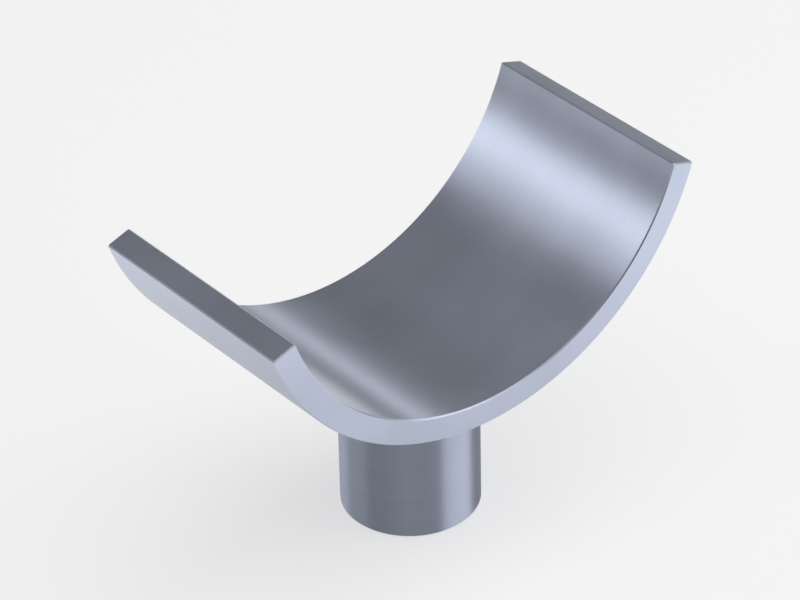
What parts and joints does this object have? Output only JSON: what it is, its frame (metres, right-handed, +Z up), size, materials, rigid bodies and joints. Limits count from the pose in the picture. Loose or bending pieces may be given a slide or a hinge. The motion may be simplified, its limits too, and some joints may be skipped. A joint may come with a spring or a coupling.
{
  "type": "pipe saddle support",
  "caption": "Curved steel saddle plate on a short round stub, which cradles a horizontal pipe on top of a stanchion.",
  "frame": {"origin": "centre of the stub's foot, where the part stands", "axes": "+Z up along the stub, +Y along the carried pipe, +X across the saddle"},
  "size_m": [0.1212, 0.0604, 0.0841],
  "materials": {
    "plate_steel": "bright zinc plate, satin",
    "pipe_steel": "bright zinc plate over drawn pipe, satin",
    "weld_metal": "zinc plate over a rippled weld bead"
  },
  "bodies": {
    "root": {"saddle_plate": "plate_steel", "stub_pipe": "pipe_steel", "weld_bead": "weld_metal"}
  },
  "joints": []
}
